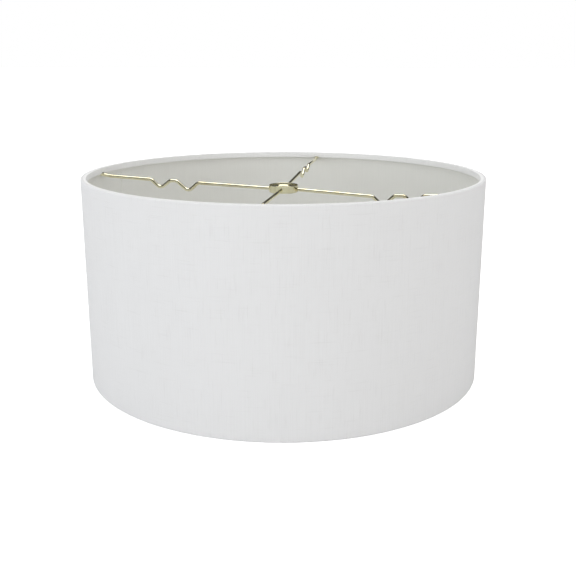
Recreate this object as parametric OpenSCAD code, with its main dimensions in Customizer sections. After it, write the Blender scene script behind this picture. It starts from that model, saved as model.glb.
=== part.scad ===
// Drum lamp shade: a hardback linen drum on a wire spider fitter.
// Millimetres. +Z is up, along the drum's axis. The origin is the centre of the
// bottom rim, in the plane that the shade stands on. The four arms of the
// spider lie along +X, -X, +Y and -Y.

/* [Drum] */
// Outside diameter over the linen
shade_d = 406; // [340:2:480]
// Overall height
shade_h = 206; // [150:2:300]
// Where the glued seam is, in degrees round from +X
seam_angle = 163; // [110:1:166]

/* [Cover and liner] */
// Thickness of the linen cover
fabric_t = 0.6; // [0.4:0.1:0.8]
// Thickness of the styrene liner
liner_t = 0.5; // [0.4:0.1:0.7]
// Width of the liner's lap at the seam
lap_w = 14; // [10:1:20]
// Thickness of the double-sided tape
tape_t = 0.1; // [0.1:0.05:0.2]
// Radius of the linen's fold at the outer edges
fold_r = 1.2; // [1.0:0.1:1.5]
// Radius of the linen's fold at the inner edges
inner_fold_r = 1.5; // [1.3:0.1:2]

/* [Rings] */
// Diameter of the wire of the top and bottom rings
ring_wire_d = 3.8; // [3.4:0.1:4.4]

/* [Spider arms] */
// Diameter of the arms' wire
arm_wire_d = 3.6; // [3:0.1:3.6]
// Distance from the axis to the saddle between an arm's two V bends
saddle_r = 119; // [105:1:125]
// Flat length of the four arms' saddles, which differ a little, being bent by hand
saddle_w = [9.5, 8.5, 7, 9]; // [6:0.5:11]
// How far the V bends of the +X, +Y, -X and -Y arms dip below the saddle
bend_depth = [11, 8.5, 11, 10.5]; // [8:0.5:11]
// Radius of every bend, at the wire's centre
bend_r = 6; // [3:0.25:6.25]
// How far the saddles of the four arms sit above the hub's level
arm_lift = [-3.5, 7, 5, 0]; // [-4:0.5:8]
// Height of the four arms above the hub's level just before they reach the ring
arm_tail = [-1, 9, 8, 1]; // [-2:0.5:9]

/* [Hub] */
// Outside diameter of the hub
hub_d = 30; // [28:1:34]
// Height of the hub's cup
hub_h = 7.6; // [7.4:0.1:8.4]
// Depth of the arms' plane in the hub, below the top edge
hub_drop = 17; // [14:1:22]
// Bore of the eyelet, for the threaded post that carries the shade
bore_d = 11.1; // [9:0.1:11.5]

/* [Hidden] */
$fn = 96;

// A small running gap between sheet-metal pieces that slip into each other
slip = 0.05;
// Overshoot of every cut, and of pieces of one solid that run into each other
over = 0.2;

// Drum radii, from the outside in
outer_r = shade_d / 2;
liner_out_r = outer_r - fabric_t;
liner_in_r = liner_out_r - liner_t;
ring_r = liner_in_r - ring_wire_d / 2;

// The hem wraps the ring and its tape
taped_r = ring_wire_d / 2 + tape_t;
hem_r = taped_r + fabric_t;
hem_h = 2 * hem_r;
ring_z = [hem_r, shade_h - hem_r];
// The liner stops short of the folds
liner_edge = fold_r;
// The lap stops short of the hems
lap_gap = 0.3;
lap_low = hem_h + lap_gap;
lap_arc = lap_w / liner_in_r * 180 / PI;
lap_step_arc = 0.4;
tape_margin_arc = 0.3;

// Round welds between the arms' ends and the underside of the top ring
arm_end_z = shade_h - hem_h - over - arm_wire_d / 2;
weld_r = 2.3;
weld_x = liner_in_r - 2 * slip - weld_r;
weld_z = arm_end_z + 0.9;
// The hem's slot for a weld, up to this height from the ring's centre
slot_r = weld_r + over;
slot_top = -1;

// Hub, measured from the arms' plane
hub_z = shade_h - hub_drop;
hub_t = 1;
floor_t = 0.8;
cap_t = 0.7;
rim_proud = 1.3;
hub_low = -(hub_h - rim_proud - cap_t + floor_t) / 2;
hub_high = hub_low + hub_h;
hub_in_r = hub_d / 2 - hub_t;
cap_z = hub_high - rim_proud - cap_t;
// An arm's head fills the cup between its floor and the cap
head_r = cap_z;
dish_depth = 1.6;
dish_top_r = 9.8;
dish_floor_r = 8.4;
eyelet_t = 0.8;
eyelet_r = bore_d / 2 + eyelet_t;
flange_r = dish_floor_r - 0.3;
head_w = 1.5;
arm_hole_d = 4.5;
tab_w = 3;
tab_t = 0.8;
tab_h = 0.6;

// Centre line of arm i: distance from the axis, height above the arms' plane
arm_end = [ring_r, arm_end_z - hub_z];
function arm_path(i) =
    let (z = arm_lift[i], dip = z - bend_depth[i], flat = saddle_w[i] / 2)
    [
        [dish_top_r + 0.4, 0],
        [saddle_r - 27, z - 1.5],
        [saddle_r - 16.5, dip],
        [saddle_r - flat, z],
        [saddle_r + flat, z],
        [saddle_r + 14.5, dip + 2.5],
        [saddle_r + 24.5, z + 0.8],
        [ring_r - 12, arm_tail[i]],
        arm_end
    ];

linen = "#ecebe7";
styrene = "#dcdcd6";
tape = "#e9e6d2";
brass = "#d9cd94";

function unit(v) = v / norm(v);
function heading(path, i) = unit(path[i + 1] - path[i]);
// Signed angle that a path turns through at point i
function turn(path, i) =
    let (u = heading(path, i - 1), v = heading(path, i))
    atan2(u.x * v.y - u.y * v.x, u * v);
// Length that the bend at point i takes off each straight
function setback(path, i) =
    i == 0 || i == len(path) - 1 ? 0 : bend_r * tan(abs(turn(path, i)) / 2);

// ---- Wire ----

// A straight runs a little way into the bends at its ends
module wire_straight(path, i, d) {
    u = heading(path, i);
    last = len(path) - 2;
    from = path[i] + u * (setback(path, i) - (i > 0 ? over : 0));
    to = path[i + 1] - u * (setback(path, i + 1) - (i < last ? over : 0));
    translate(from)
        rotate([0, 0, atan2(u.y, u.x)])
            rotate([0, 90, 0])
                cylinder(d = d, h = norm(to - from));
}

// A bend is a hair thicker than the straights, so that they meet in clean edges
module wire_bend(path, i, d) {
    u = heading(path, i - 1);
    t = turn(path, i);
    side = sign(t);
    start = path[i] - u * setback(path, i);
    out = side * [u.y, -u.x];
    centre = start - out * bend_r;
    first = atan2(out.y, out.x);
    translate(centre)
        rotate([0, 0, first + min(t, 0)])
            rotate_extrude(angle = abs(t))
                translate([bend_r, 0])
                    circle(d = d + slip, $fn = 48);
}

// A bent wire in the XY plane
module bent_wire(path, d) {
    for (i = [0 : len(path) - 2])
        wire_straight(path, i, d);
    for (i = [1 : len(path) - 2])
        wire_bend(path, i, d);
}

module wire_ring(z, d) {
    translate([0, 0, z])
        rotate_extrude($fn = 180)
            translate([ring_r, 0])
                circle(d = d, $fn = 48);
}

// Places a child at each of the four arms, with its number in $arm
module at_arms() {
    for ($arm = [0 : 3])
        rotate([0, 0, 90 * $arm])
            children();
}

// Slots through the top hem, where the arms' welds reach the ring
module weld_slots() {
    at_arms()
        translate([weld_x, 0, ring_z[1] - hem_r - over])
            cylinder(r = slot_r, h = hem_r + over + slot_top);
}

// ---- Cover ----

// Outer shape of the bottom hem round the ring's centre
module hem_outside() {
    edge = outer_r - ring_r;
    inner = inner_fold_r - hem_r;
    for (z = [-1, 1])
        translate([inner, -z * inner])
            circle(r = inner_fold_r, $fn = 48);
    translate([-hem_r, inner])
        square([hem_r, -2 * inner]);
    translate([inner, -hem_r])
        square([edge - fold_r - inner, hem_h]);
    translate([0, fold_r - hem_r])
        square([edge, hem_h - fold_r]);
    translate([edge - fold_r, fold_r - hem_r])
        circle(r = fold_r, $fn = 48);
}

// Space inside the bottom hem for the ring, its tape and the liner's edge
module hem_inside() {
    circle(r = taped_r);
    translate([0, liner_edge - hem_r])
        square([liner_out_r - ring_r, taped_r + hem_r - liner_edge]);
    // The liner runs on past the linen's tucked edge
    translate([liner_in_r - ring_r, 0])
        square([liner_t, hem_h]);
}

module hem(z, flip) {
    translate([ring_r, z])
        mirror([0, flip])
            difference() {
                hem_outside();
                hem_inside();
            }
}

module fabric_cover() {
    color(linen)
        difference() {
            rotate_extrude($fn = 180) {
                translate([liner_out_r, hem_h - over])
                    square([fabric_t, shade_h - 2 * hem_h + 2 * over]);
                hem(ring_z[0], 0);
                hem(ring_z[1], 1);
            }
            weld_slots();
        }
}

// ---- Liner ----

// Part of a ring of the lap's height, from one radius and angle to another
module lap_arc_wall(r_in, r_out, first, arc) {
    rotate([0, 0, seam_angle + first])
        rotate_extrude(angle = arc, $fn = 720)
            translate([r_in, lap_low])
                square([r_out - r_in, shade_h - 2 * lap_low]);
}

module liner_panel() {
    lap_in_r = liner_in_r - tape_t - liner_t;
    color(styrene) {
        rotate_extrude($fn = 180)
            translate([liner_in_r, liner_edge])
                square([liner_t, shade_h - 2 * liner_edge]);
        lap_arc_wall(lap_in_r, lap_in_r + liner_t, 0, lap_arc);
        lap_arc_wall(lap_in_r, liner_in_r + over, 0, lap_step_arc);
    }
}

module seam_tape() {
    first = lap_step_arc + tape_margin_arc;
    color(tape)
        lap_arc_wall(liner_in_r - tape_t, liner_in_r, first, lap_arc - first - tape_margin_arc);
}

// ---- Rings ----

module top_ring() {
    color(brass)
        wire_ring(ring_z[1], ring_wire_d);
}

module bottom_ring() {
    color(brass)
        wire_ring(ring_z[0], ring_wire_d);
}

// Tape round the inner half of a ring's wire
module ring_tape(z) {
    color(tape)
        translate([0, 0, z])
            rotate_extrude($fn = 180)
                translate([ring_r, 0])
                    difference() {
                        circle(r = taped_r, $fn = 48);
                        circle(d = ring_wire_d, $fn = 48);
                        translate([0, -hem_r])
                            square([hem_r, hem_h]);
                    }
}

module top_ring_tape() {
    ring_tape(ring_z[1]);
}

module bottom_ring_tape() {
    ring_tape(ring_z[0]);
}

// ---- Spider arms ----

// Arm i, with the head that the hub holds
module arm(i) {
    color(brass)
        rotate([0, 0, 90 * i])
            translate([0, 0, hub_z]) {
                rotate([90, 0, 0])
                    bent_wire(arm_path(i), arm_wire_d);
                translate([hub_in_r - head_w - slip, 0, 0])
                    rotate([0, 90, 0])
                        cylinder(r = head_r, h = head_w);
            }
}

module arm_right() {
    arm(0);
}

module arm_back() {
    arm(1);
}

module arm_left() {
    arm(2);
}

module arm_front() {
    arm(3);
}

// Bead of weld metal round each arm's end, up to the taped underside of the top ring
module arm_welds() {
    color(brass)
        difference() {
            at_arms()
                translate([weld_x, 0, weld_z])
                    sphere(r = weld_r, $fn = 48);
            wire_ring(ring_z[1], 2 * taped_r);
            at_arms()
                translate([0, 0, hub_z])
                    rotate([90, 0, 0])
                        wire_straight(arm_path($arm), len(arm_path($arm)) - 2, arm_wire_d);
        }
}

// ---- Hub ----

// Holes in the cup's wall that the arms pass through
module arm_holes() {
    at_arms()
        translate([hub_in_r - over, 0, 0])
            rotate([0, 90, 0])
                cylinder(d = arm_hole_d, h = hub_t + 2 * over);
}

module cup_profile() {
    corner = 1.2;
    // Floor, up to the rounded corner
    translate([eyelet_r + slip, hub_low])
        square([hub_d / 2 - corner - eyelet_r - slip, floor_t]);
    // Rounded corner
    intersection() {
        difference() {
            translate([hub_d / 2 - corner, hub_low + corner])
                circle(r = corner, $fn = 48);
            translate([hub_in_r - corner, hub_low + floor_t])
                square([corner, corner]);
        }
        translate([hub_d / 2 - corner, hub_low])
            square([corner, corner]);
    }
    // Wall, with its rolled rim
    translate([hub_in_r, hub_low + corner])
        square([hub_t, hub_h - corner - hub_t / 2]);
    translate([hub_in_r + hub_t / 2, hub_high - hub_t / 2])
        circle(d = hub_t, $fn = 48);
}

// Tabs pressed in from the rim, which hold the cap down
module cup_tabs() {
    for (a = [45 : 90 : 315])
        rotate([0, 0, a])
            translate([hub_in_r - tab_t, -tab_w / 2, cap_z + cap_t])
                cube([tab_t + hub_t / 2, tab_w, tab_h]);
}

module hub_cup() {
    color(brass)
        translate([0, 0, hub_z]) {
            difference() {
                rotate_extrude()
                    cup_profile();
                arm_holes();
            }
            cup_tabs();
        }
}

// Pressed washer with a dished middle, on top of the arms
module hub_cap() {
    low = cap_z - dish_depth;
    color(brass)
        translate([0, 0, hub_z])
            rotate_extrude()
                polygon([
                    [eyelet_r + slip, low],
                    [dish_floor_r, low],
                    [dish_top_r, cap_z],
                    [hub_in_r - slip, cap_z],
                    [hub_in_r - slip, cap_z + cap_t],
                    [dish_top_r - cap_t / 2, cap_z + cap_t],
                    [dish_floor_r - cap_t / 2, low + cap_t],
                    [eyelet_r + slip, low + cap_t]
                ]);
}

// Tubular rivet that clamps the cup and the cap together
module hub_eyelet() {
    dish_z = cap_z - dish_depth + cap_t;
    bottom = hub_low - eyelet_t;
    color(brass)
        translate([0, 0, hub_z])
            rotate_extrude()
                translate([bore_d / 2, 0]) {
                    translate([0, bottom])
                        square([eyelet_t, dish_z + eyelet_t - bottom]);
                    for (z = [bottom, dish_z])
                        translate([0, z])
                            rounded_flange();
                }
}

// Section of a flange with a round outer edge
module rounded_flange() {
    w = flange_r - bore_d / 2;
    square([w - eyelet_t / 2, eyelet_t]);
    translate([w - eyelet_t / 2, eyelet_t / 2])
        circle(d = eyelet_t, $fn = 48);
}

fabric_cover();
liner_panel();
seam_tape();
top_ring();
bottom_ring();
top_ring_tape();
bottom_ring_tape();
arm_right();
arm_back();
arm_left();
arm_front();
arm_welds();
hub_cup();
hub_cap();
hub_eyelet();
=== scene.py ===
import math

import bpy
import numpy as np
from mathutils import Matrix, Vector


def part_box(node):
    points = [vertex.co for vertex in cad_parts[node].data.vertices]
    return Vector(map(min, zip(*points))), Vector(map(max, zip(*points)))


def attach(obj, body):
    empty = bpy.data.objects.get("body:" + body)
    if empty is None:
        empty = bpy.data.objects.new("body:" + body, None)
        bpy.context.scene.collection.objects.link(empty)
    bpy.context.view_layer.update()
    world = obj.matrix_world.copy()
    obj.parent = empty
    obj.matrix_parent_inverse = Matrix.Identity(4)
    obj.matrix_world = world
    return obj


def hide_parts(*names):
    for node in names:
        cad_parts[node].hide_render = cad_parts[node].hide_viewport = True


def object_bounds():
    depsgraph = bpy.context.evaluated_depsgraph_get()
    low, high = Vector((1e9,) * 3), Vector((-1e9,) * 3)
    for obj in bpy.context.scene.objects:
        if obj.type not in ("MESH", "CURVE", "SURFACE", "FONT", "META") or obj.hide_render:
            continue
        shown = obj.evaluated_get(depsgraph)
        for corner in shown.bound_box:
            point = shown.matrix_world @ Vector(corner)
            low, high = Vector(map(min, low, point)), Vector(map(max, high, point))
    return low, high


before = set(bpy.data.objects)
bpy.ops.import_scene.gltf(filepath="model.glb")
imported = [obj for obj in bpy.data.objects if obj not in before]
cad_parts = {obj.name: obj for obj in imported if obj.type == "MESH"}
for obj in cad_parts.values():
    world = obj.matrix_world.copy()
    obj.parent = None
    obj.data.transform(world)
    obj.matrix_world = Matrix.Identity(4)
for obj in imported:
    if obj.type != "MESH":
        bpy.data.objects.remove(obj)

# Drum lamp shade, in metres, in the CAD frame: +Z up along the drum's axis, the
# origin in the plane of the bottom rim. The linen is one sheet of cloth, turned
# over the top and bottom rings. Everything else keeps its CAD shape.

cad_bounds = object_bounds()

# ---- Measures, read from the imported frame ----

cover_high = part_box("fabric_cover")[1]
liner_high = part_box("liner_panel")[1]
ring_low, ring_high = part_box("top_ring")

outer_r = cover_high.x
height = cover_high.z
cloth_t = outer_r - liner_high.x
wire_r = (ring_high.z - ring_low.z) / 2
ring_r = ring_high.x - wire_r
top_ring_z = (ring_high.z + ring_low.z) / 2
hem_r = height - top_ring_z

# From the middle of a ring's wire out to the liner's inside and to the linen's outside
liner_in_x = ring_high.x - ring_r
wall_x = outer_r - ring_r


# ---- Measures of the cloth ----

# Where the linen's outer end is glued over the other one, as an angle from +X
SEAM = math.radians(163)
# How far the outer end stands proud, the length in which it rises to that, and the
# length in which it settles back to the wall
SEAM_PROUD = 0.00042
SEAM_RISE = 0.00055
SEAM_SPREAD = 0.009
# The fine gap beside the outer end: its depth, and its reach to either side
GAP_DEPTH = 0.00018
GAP_BEFORE = 0.0012
GAP_PAST = 0.0003

# The radius of the fold between the wall and a hem
FOLD_R = 0.0012
# A hem's section round its ring: 1 would be a true arc, and more flattens its sides
HEM_SQUARENESS = 4.0
# A hem reaches this far past its ring before it turns in under it
HEM_TUCK = 0.0012
# The tuck lifts this far to either side of each arm's end, to clear it
ARM_CLEARANCE = 0.004
# The cloth's back stays this far under the liner's edge
LINER_GAP = 0.0001
# The paler tone painted on a hem as painted light ends this far short of the fold, and fades over
# as much
EDGE_FADE = 0.001

# Height of the ripples along a hem's fold, and how far they reach from it
RIPPLE = 2.5e-5
RIPPLE_REACH = 0.006

# The mesh: even columns round the drum, and rows up the wall's face and back
COLUMNS = 620
FACE_ROWS = 62
BACK_ROWS = 8
# Rows round a hem: along each of its flats, each quarter of the ring, and the fold
FLAT_ROWS = 2
FACE_QUARTER_ROWS = 9
BACK_QUARTER_ROWS = 4
FOLD_ROWS = 6

# Distance between yarns, and how far they wander from side to side
YARN_PITCH = 0.00055
YARN_SWAY = 0.0006


# ---- Colours, as linear values ----

LINEN_DARK = (0.38, 0.365, 0.34, 1)
LINEN_LIGHT = (0.835, 0.835, 0.835, 1)
# Painted light: the hems' paler tone stands in for light that their inner faces lack
LINEN_HEM_PAINTED_LIGHT = (0.96, 0.96, 0.955, 1)
STYRENE_DARK = (0.37, 0.37, 0.34, 1)
STYRENE_LIGHT = (0.90, 0.90, 0.86, 1)
TAPE_DARK = (0.60, 0.57, 0.44, 1)
TAPE_LIGHT = (0.78, 0.75, 0.62, 1)
BRASS_BRIGHT = (0.94, 0.90, 0.66, 1)
BRASS_TARNISHED = (0.72, 0.65, 0.42, 1)
FLOOR_GREY = (0.72, 0.72, 0.72, 1)
WHITE = (1, 1, 1, 1)


# ---- Small tools ----

class Nodes:
    """Short calls that make and link the nodes of one node tree."""

    def __init__(self, tree):
        self.tree = tree

    def node(self, kind, **settings):
        made = self.tree.nodes.new(kind)
        for key, value in settings.items():
            setattr(made, key, value)
        return made

    def feed(self, socket, value):
        """Sets a socket to a constant, or links another node's output to it."""
        if isinstance(value, (int, float, tuple)):
            socket.default_value = value
        else:
            self.tree.links.new(value, socket)

    def feed_all(self, made, **values):
        """Feeds sockets by name. An underscore stands for a space in a name."""
        for key, value in values.items():
            self.feed(made.inputs[key.replace("_", " ")], value)

    def calc(self, operation, *values):
        made = self.node("ShaderNodeMath", operation=operation)
        for socket, value in zip(made.inputs, values):
            self.feed(socket, value)
        return made.outputs[0]

    def total(self, base, *terms):
        """The base, plus the value of each term times its weight."""
        for value, weight in terms:
            base = self.calc("MULTIPLY_ADD", value, weight, base)
        return base

    def split(self, vector):
        made = self.node("ShaderNodeSeparateXYZ")
        self.feed(made.inputs[0], vector)
        return made.outputs

    def coordinates(self, kind):
        return self.node("ShaderNodeTexCoord").outputs[kind]

    def noise(self, where, detail, scale=1.0, rough=0.5):
        made = self.node("ShaderNodeTexNoise", noise_dimensions="3D")
        self.feed_all(made, Vector=where, Scale=scale, Detail=detail, Roughness=rough)
        return made.outputs["Fac"]

    def spots(self, place, per_metre, detail, layer=0.0):
        """Noise over a place (u, v) in metres, with so many spots to the metre each way."""
        made = self.node("ShaderNodeCombineXYZ")
        for socket, at, count in zip(made.inputs, place, per_metre):
            self.feed(socket, self.calc("MULTIPLY", at, count))
        self.feed(made.inputs["Z"], layer)
        return self.noise(made.outputs[0], detail)

    def ramp(self, value, low, high, to_low=0.0, to_high=1.0):
        """Runs from to_low, at a value of low or less, to to_high, at high or more."""
        made = self.node("ShaderNodeMapRange", clamp=True)
        self.feed_all(made, Value=value, From_Min=low, From_Max=high, To_Min=to_low, To_Max=to_high)
        return made.outputs[0]

    def mix(self, share, a, b, kind="RGBA"):
        made = self.node("ShaderNodeMix", data_type=kind)
        self.feed_all(made, Factor=share, A=a, B=b)
        return made.outputs["Result"]


class Shader(Nodes):
    """A material with a Principled shader."""

    def __init__(self, name):
        self.mat = bpy.data.materials.new(name)
        self.mat.use_nodes = True
        super().__init__(self.mat.node_tree)
        self.bsdf = self.tree.nodes["Principled BSDF"]

    def set(self, **values):
        self.feed_all(self.bsdf, **values)

    def bump(self, relief, depth, strength=1.0):
        made = self.node("ShaderNodeBump")
        self.feed_all(made, Height=relief, Distance=depth, Strength=strength)
        self.set(Normal=made.outputs["Normal"])


def add(name, data):
    """A new object in the scene, with this mesh, lamp or camera."""
    ob = bpy.data.objects.new(name, data)
    bpy.context.scene.collection.objects.link(ob)
    return ob


# ---- Materials ----

def linen_material(cut_length, turned):
    """Plain-weave linen with slubs, with UVs in metres round the drum and along the cloth.

    Both ends of its cut length are turned over so far. They are painted a little paler there,
    as painted light that makes up for the light the hems' inner faces lack.
    """
    s = Shader("linen")
    u, v, _ = s.split(s.node("ShaderNodeUVMap", uv_map="cloth").outputs[0])

    # Yarns wander a little to either side
    wander = s.spots((u, v), (90, 40), detail=2)
    sway = s.total(-YARN_SWAY / 2, (wander, YARN_SWAY))

    def yarns(at):
        turns = s.calc("MULTIPLY", s.calc("ADD", at, sway), math.pi / YARN_PITCH)
        return s.calc("SINE", turns)

    # The two sets of yarns pass over each other by turns
    upright = yarns(u)
    level = yarns(v)
    over = s.calc("MULTIPLY_ADD", s.calc("MULTIPLY", upright, level), 0.5, 0.5)
    warp = s.calc("MULTIPLY", s.calc("ABSOLUTE", upright), over)
    weft = s.calc("MULTIPLY", s.calc("ABSOLUTE", level), s.calc("SUBTRACT", 1.0, over))
    weave = s.calc("ADD", warp, weft)

    # Thick places in the upright yarns, and fewer in the level ones
    slub = s.ramp(s.spots((u, v), (760, 42), detail=1), 0.60, 0.74)
    cross_slub = s.ramp(s.spots((u, v), (34, 700), detail=1, layer=7.0), 0.62, 0.76)
    yarn = s.spots((u, v), (1300, 14), detail=1, layer=3.0)
    cloud = s.spots((u, v), (9, 9), detail=3, layer=5.0)

    tone = s.total(0.83, (weave, 0.10), (yarn, 0.10), (cloud, 0.05),
                   (slub, -0.055), (cross_slub, -0.05))
    # Each hem is painted paler, as painted light, up to a little short of its fold
    from_edge = s.calc("MINIMUM", v, s.calc("SUBTRACT", cut_length, v))
    hem_painted_light_mask = s.ramp(from_edge, turned - EDGE_FADE, turned, 1.0, 0.0)
    light = s.mix(hem_painted_light_mask, LINEN_LIGHT, LINEN_HEM_PAINTED_LIGHT)
    s.set(
        Base_Color=s.mix(tone, LINEN_DARK, light),
        Roughness=s.ramp(weave, 0.0, 1.0, 0.95, 0.82),
        Sheen_Weight=0.01,
        Sheen_Roughness=0.5,
        Specular_IOR_Level=0.06,
    )
    relief = s.total(0.0, (weave, 0.45), (yarn, 0.3), (slub, 0.9), (cross_slub, 0.6))
    s.bump(relief, depth=0.00012, strength=0.8)
    return s.mat


def drum_place(s, radius):
    """Metres round the drum from -X and up it, for a piece with no UV map."""
    x, y, z = s.split(s.coordinates("Object"))
    turned = s.calc("ARCTAN2", s.calc("MULTIPLY", y, -1.0), s.calc("MULTIPLY", x, -1.0))
    return s.calc("MULTIPLY", turned, radius), z


def liner_material():
    """White styrene sheet, through which the linen's upright slubs show faintly."""
    s = Shader("styrene")
    place = drum_place(s, liner_high.x)
    slub = s.ramp(s.spots(place, (500, 30), detail=1), 0.35, 0.70)
    cloud = s.spots(place, (12, 12), detail=3, layer=5.0)
    peel = s.spots(place, (240, 240), detail=2, layer=2.0)
    tone = s.total(0.93, (slub, 0.025), (cloud, 0.04))
    s.set(
        Base_Color=s.mix(tone, STYRENE_DARK, STYRENE_LIGHT),
        Roughness=s.ramp(peel, 0.3, 0.7, 0.42, 0.55),
        Specular_IOR_Level=0.35,
    )
    s.bump(peel, depth=0.00006, strength=0.5)
    return s.mat


def tape_material():
    """Double-sided tape with a fine grain."""
    s = Shader("tape")
    grain = s.noise(s.coordinates("Object"), detail=3.0, scale=900.0)
    s.set(
        Base_Color=s.mix(grain, TAPE_DARK, TAPE_LIGHT),
        Roughness=s.ramp(grain, 0.3, 0.7, 0.45, 0.6),
    )
    s.bump(grain, depth=0.00005)
    return s.mat


def brass_material():
    """Bright brass plating: faint tarnish, fine handling marks and a little unevenness."""
    s = Shader("brass")
    where = s.coordinates("Object")
    cloud = s.noise(where, detail=4.0, scale=45.0, rough=0.6)
    marks = s.noise(where, detail=4.0, scale=700.0, rough=0.7)
    dents = s.noise(where, detail=2.0, scale=160.0)
    tarnish = s.ramp(cloud, 0.48, 0.75)
    s.set(
        Base_Color=s.mix(tarnish, BRASS_BRIGHT, BRASS_TARNISHED),
        Metallic=1.0,
        Roughness=s.total(0.04, (marks, 0.10), (tarnish, 0.10)),
    )
    s.bump(s.total(0.0, (dents, 0.4), (marks, 0.15)), depth=0.00012, strength=0.6)
    return s.mat


# ---- The linen's section, as points (out, up) from the middle of a ring's wire ----

def arc(cx, cz, radius, first, last, steps, squareness=1.0):
    """Points on an arc between two angles in degrees. A squareness over 1 flattens it."""
    def bulge(v):
        return math.copysign(abs(v) ** (1 / squareness), v)
    turns = np.radians(np.linspace(first, last, steps + 1))
    return [(cx + radius * bulge(math.cos(t)), cz + radius * bulge(math.sin(t))) for t in turns]


def line(a, b, steps):
    """Points on a straight stretch, without its first one."""
    return [(a[0] + (b[0] - a[0]) * k / steps, a[1] + (b[1] - a[1]) * k / steps)
            for k in range(1, steps + 1)]


def round_ring(radius, steps):
    """From the tucked side down past the ring and round it, without the first point."""
    tucked_side = arc(0, HEM_TUCK, radius, 90, 180, steps, HEM_SQUARENESS)
    rim_side = arc(0, 0, radius, 180, 270, steps, HEM_SQUARENESS)
    return tucked_side[1:] + rim_side


def outer_hem():
    """The cloth's face round the bottom ring, from its tucked edge to the wall."""
    path = [(liner_in_x, hem_r + HEM_TUCK)]
    path += line(path[-1], (0.0, hem_r + HEM_TUCK), FLAT_ROWS)
    path += round_ring(hem_r, FACE_QUARTER_ROWS)
    path += line(path[-1], (wall_x - FOLD_R, -hem_r), FLAT_ROWS)
    path += arc(wall_x - FOLD_R, FOLD_R - hem_r, FOLD_R, -90, 0, FOLD_ROWS)[1:]
    return path


def inner_hem():
    """The cloth's back round the same ring."""
    back_r = hem_r - cloth_t
    path = [(liner_in_x, back_r + HEM_TUCK), (0.0, back_r + HEM_TUCK)]
    path += round_ring(back_r, BACK_QUARTER_ROWS)
    path.append((wall_x - FOLD_R, FOLD_R - hem_r - LINER_GAP))
    path.append((wall_x - cloth_t, FOLD_R - hem_r))
    return path


def whole_side(hem, rows):
    """A hem at the bottom, the wall and the same hem at the top, from the drum's centre."""
    low = [(ring_r + x, hem_r + z) for x, z in hem]
    high = [(ring_r + x, height - hem_r - z) for x, z in reversed(hem)]
    return low + line(low[-1], high[0], rows)[:-1] + high


# ---- The linen's relief ----

def smooth_noise(t, periods, seed):
    """Repeats once round the drum. t runs from 0 to 1, and periods is a list of (waves, size)."""
    local = np.random.default_rng(seed)
    total = np.zeros_like(t)
    for waves, size in periods:
        total += size * np.sin(2 * np.pi * (waves * t + local.random()))
    return total


def swell(distance, width, power=2):
    """Falls smoothly from 1 to about a third at the width, and to nearly 0 at twice as much."""
    return np.exp(-((distance / width) ** power))


def seam_relief(angle):
    """The outer end stands a little proud at the seam, with a fine gap beside it."""
    past = angle * outer_r
    before = (2 * np.pi - angle) * outer_r
    relief = SEAM_PROUD * swell(past, SEAM_SPREAD) * np.clip(past / SEAM_RISE, 0, 1) ** 0.5
    relief -= GAP_DEPTH * swell(before, GAP_BEFORE)
    relief -= GAP_DEPTH * swell(past, GAP_PAST)
    return relief


def wall_relief(t, level):
    """Slow unevenness of the laminated panel. t runs round the drum, and level up the cloth."""
    relief = np.zeros((len(t), len(level)))
    for k, (waves_up, size) in enumerate([(0.6, 4.5e-5), (1.3, 4e-5), (2.1, 3e-5)]):
        periods = [(3 + k, 0.5), (7 + 2 * k, 0.6), (13 + 3 * k, 0.4)]
        wave = smooth_noise(t, periods, seed=20 + k)
        turn = smooth_noise(t, [(2, 1.5), (5, 0.7)], seed=40 + k)
        upward = np.cos(2 * np.pi * waves_up * level[None, :] + turn[:, None])
        relief += size * wave[:, None] * upward
    return relief


def hem_ripples(t, run, hem_length):
    """Fine ripples where the cloth turns over each ring."""
    relief = np.zeros((len(t), len(run)))
    for fold, seed in ((hem_length, 61), (run[-1] - hem_length, 62)):
        ripple = smooth_noise(t, [(97, 0.5), (143, 0.5), (211, 0.45), (61, 0.4)], seed)
        relief += RIPPLE * swell(run - fold, RIPPLE_REACH)[None, :] * ripple[:, None]
    return relief


def arm_lift(angle, section):
    """The top hem's tucked side lifts, to clear the end of each arm."""
    hair = 0.00001
    inside_liner = section[:, 0] < ring_r + liner_in_x + hair
    below_ring = (section[:, 1] > height / 2) & (section[:, 1] < top_ring_z - hair)
    quarter = math.pi / 2
    from_arm = (((angle + SEAM) / quarter + 0.5) % 1 - 0.5) * quarter * ring_r
    lift = HEM_TUCK * swell(from_arm, ARM_CLEARANCE, power=4)
    return lift[:, None] * (inside_liner & below_ring)[None, :]


# ---- The linen's mesh ----

def column_angles():
    """Angles on from the seam, closer together on both sides of it."""
    # Distances past the seam and before it, in millimetres
    near = np.array([0, 0.12, 0.3, 0.55, 0.9, 1.5, 2.4, 3.6, 5, 7, 9, 11.5]) / 1000 / outer_r
    far = np.array([2.4, 1.5, 0.8, 0.4, 0.15]) / 1000 / outer_r
    middle = np.linspace(near[-1], 2 * np.pi - far[0], COLUMNS)
    return np.concatenate([near, middle[1:], 2 * np.pi - far[1:]])


def cloth_points(face, back, run, hem_length, angle):
    """A closed loop of points for each column: up the cloth's face and down its back."""
    t = angle / (2 * np.pi)
    relief = wall_relief(t, run / run[-1])
    relief += hem_ripples(t, run, hem_length)
    relief += seam_relief(angle)[:, None]

    tangent = np.gradient(face, axis=0)
    tangent /= np.hypot(*tangent.T)[:, None]
    normal = np.stack([tangent[:, 1], -tangent[:, 0]], 1)
    outside = face + normal * relief[..., None]
    inside = np.repeat(back[None], len(angle), 0)
    out, up = np.moveaxis(np.concatenate([outside, inside], 1), -1, 0)

    # The relief doesn't reach below the surface that the shade stands on
    up = np.maximum(up, 0.0)
    up += arm_lift(angle, np.concatenate([face, back]))
    turned = (angle + SEAM)[:, None]
    return np.stack([out * np.cos(turned), out * np.sin(turned), up], -1)


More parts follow.
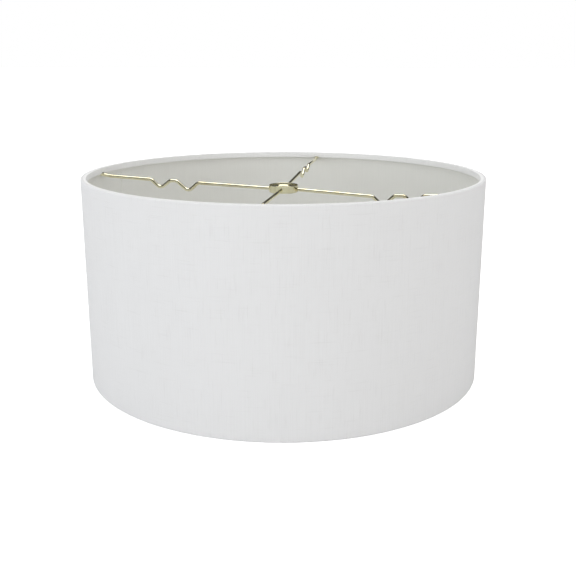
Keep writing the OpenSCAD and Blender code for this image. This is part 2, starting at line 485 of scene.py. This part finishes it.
def closed_quads(columns, rows):
    """Quads between neighbouring points, closed round the drum and round each loop."""
    j, i = np.meshgrid(np.arange(columns), np.arange(rows), indexing="ij")
    j_next = (j + 1) % columns
    i_next = (i + 1) % rows
    corners = [j * rows + i, j_next * rows + i, j_next * rows + i_next, j * rows + i_next]
    return np.stack(corners, -1).reshape(-1, 4)


def cloth_uv(face, back, run, hem_rows, angle):
    """Metres round the drum and along the cloth, for each corner of each quad."""
    # Each point of the back is as far along as the wall's face opposite it
    wall = slice(hem_rows, -hem_rows)
    back_run = np.interp(back[:, 1], face[wall, 1], run[wall])
    along = np.concatenate([run, back_run])
    around = np.append(angle, 2 * np.pi) * outer_r
    uv = np.zeros((len(angle), len(along), 4, 2))
    uv[:, :, [0, 3], 0] = around[:-1, None, None]
    uv[:, :, [1, 2], 0] = around[1:, None, None]
    uv[:, :, [0, 1], 1] = along[None, :, None]
    uv[:, :, [2, 3], 1] = np.roll(along, -1)[None, :, None]
    return uv.astype(np.float32).ravel()


def linen_cover():
    """The linen panel, and its length along the cloth from one tucked edge to the other."""
    face = np.array(whole_side(outer_hem(), FACE_ROWS))
    back = np.array(whole_side(inner_hem(), BACK_ROWS))[::-1]
    run = np.concatenate([[0], np.cumsum(np.hypot(*np.diff(face, axis=0).T))])
    hem_rows = len(outer_hem()) - 1
    hem_length = float(run[hem_rows])
    cut_length = float(run[-1])
    angle = column_angles()

    grid = cloth_points(face, back, run, hem_length, angle)
    quads = closed_quads(*grid.shape[:2])
    mesh = bpy.data.meshes.new("linen_cover")
    mesh.from_pydata(grid.reshape(-1, 3).tolist(), [], quads.tolist())
    uv = cloth_uv(face, back, run, hem_rows, angle)
    mesh.uv_layers.new(name="cloth").data.foreach_set("uv", uv)
    mesh.shade_smooth()
    mesh.validate()

    # Where the painted light on each hem stops, measured along the cloth
    turned = hem_length - math.pi / 2 * FOLD_R - EDGE_FADE
    mesh.materials.append(linen_material(cut_length, turned))
    return add("linen_cover", mesh), cut_length


cover, cut_length = linen_cover()
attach(cover, "root")
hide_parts("fabric_cover")


# ---- Materials of the CAD nodes ----

def dress(names, material):
    for name in names:
        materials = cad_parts[name].data.materials
        materials.clear()
        materials.append(material)


dress(["liner_panel"], liner_material())
dress(["seam_tape", "top_ring_tape", "bottom_ring_tape"], tape_material())
dress(
    ["top_ring", "bottom_ring", "arm_right", "arm_back", "arm_left", "arm_front",
     "arm_welds", "hub_cup", "hub_cap", "hub_eyelet"],
    brass_material(),
)


# ---- Stage ----

# The side that the camera looks from. 0 is the -Y side, and it grows towards +X
VIEW_AZIMUTH = 12.0
# The camera's place, in drum radii out from the axis and up from the bottom rim
CAMERA_OUT = 4.2732
CAMERA_UP = 1.5628
# Its turn down from the level and to the right of the axis, in radians
CAMERA_DOWN = 0.2637
CAMERA_RIGHT = 0.0053
SENSOR_MM = 36.0
LENS_MM = 52.8

# The floor's half width, its place below the shade, and its glow to the camera
FLOOR_HALF = 30.0
FLOOR_GAP = 0.0002
FLOOR_GLOW = 0.8

LAMP_DISTANCE = 2.2

# Heights in the world, as the sine of the elevation: where the backdrop gives way to
# the dark studio, and where the overhead soft box starts, in plain light and mirrored
BACKDROP_TOP = (0.075, 0.125)
SOFT_BOX = (0.45, 0.66)
MIRRORED_BOX = (0.78, 0.88)
STUDIO_STRENGTH = 0.09
SOFT_BOX_STRENGTH = 1.0
MIRRORED_STRENGTH = 2.2


def stage_floor():
    """A pale floor that the camera sees as white."""
    s = Shader("floor")
    seen = s.node("ShaderNodeLightPath").outputs["Is Camera Ray"]
    s.set(
        Base_Color=FLOOR_GREY,
        Roughness=0.9,
        Specular_IOR_Level=0.0,
        Emission_Color=WHITE,
        Emission_Strength=s.calc("MULTIPLY", seen, FLOOR_GLOW),
    )
    mesh = bpy.data.meshes.new("floor")
    corners = [(x * FLOOR_HALF, y * FLOOR_HALF, 0) for x, y in ((-1, -1), (1, -1), (1, 1), (-1, 1))]
    mesh.from_pydata(corners, [], [(0, 1, 2, 3)])
    mesh.materials.append(s.mat)
    floor = add("floor", mesh)
    floor.location.z = cad_bounds[0].z - FLOOR_GAP


def studio_world():
    """White backdrop low down, the dark studio above it, and a big soft box overhead."""
    world = bpy.data.worlds.new("studio")
    bpy.context.scene.world = world
    world.use_nodes = True
    w = Nodes(world.node_tree)
    rise = w.split(w.coordinates("Generated"))["Z"]
    rays = w.node("ShaderNodeLightPath").outputs
    backdrop = w.ramp(rise, *BACKDROP_TOP, 1.0, STUDIO_STRENGTH)

    # In reflections the box is smaller and brighter, for crisp lights along the brass
    plain = w.ramp(rise, *SOFT_BOX, 0.0, SOFT_BOX_STRENGTH)
    mirrored = w.ramp(rise, *MIRRORED_BOX, 0.0, MIRRORED_STRENGTH)
    overhead = w.mix(rays["Is Glossy Ray"], plain, mirrored, "FLOAT")
    light = w.calc("ADD", backdrop, overhead)
    w.feed_all(
        w.tree.nodes["Background"],
        Color=WHITE,
        Strength=w.calc("MAXIMUM", light, rays["Is Camera Ray"]),
    )


def way_out(azimuth, elevation):
    """The direction out from the drum on a side, at an elevation, both in radians."""
    level = math.cos(elevation)
    return Vector((math.sin(azimuth) * level, -math.cos(azimuth) * level, math.sin(elevation)))


def area_light(name, azimuth, elevation, size, power, colour=(1, 1, 1)):
    """A square soft box that faces the drum, placed by angles in degrees."""
    data = bpy.data.lights.new(name, "AREA")
    data.shape = "SQUARE"
    data.size = size
    data.energy = power
    data.color = colour
    lamp = add(name, data)
    out = way_out(math.radians(azimuth), math.radians(elevation))
    lamp.location = Vector((0, 0, height / 2)) + out * LAMP_DISTANCE
    lamp.rotation_mode = "QUATERNION"
    lamp.rotation_quaternion = (-out).to_track_quat("-Z", "Y")
    lamp.visible_glossy = False


def camera():
    """The camera looks down at the drum a little from above."""
    data = bpy.data.cameras.new("camera")
    data.sensor_width = SENSOR_MM
    data.lens = LENS_MM
    data.clip_start = 0.01
    data.clip_end = 200.0
    cam = add("camera", data)
    azimuth = math.radians(VIEW_AZIMUTH)
    cam.location = way_out(azimuth, 0) * CAMERA_OUT * outer_r
    cam.location.z = CAMERA_UP * outer_r
    cam.rotation_euler = (math.pi / 2 - CAMERA_DOWN, 0, azimuth - CAMERA_RIGHT)
    bpy.context.scene.camera = cam


stage_floor()
studio_world()
area_light("key", VIEW_AZIMUTH - 54, 16, size=1.4, power=14.9, colour=(0.93, 0.955, 0.99))
area_light("fill", VIEW_AZIMUTH + 40, 17, size=1.6, power=11.3, colour=(1.0, 0.99, 0.98))
area_light("back", VIEW_AZIMUTH + 180, 20, size=1.0, power=8.0)
camera()
bpy.context.scene.view_settings.view_transform = "Standard"
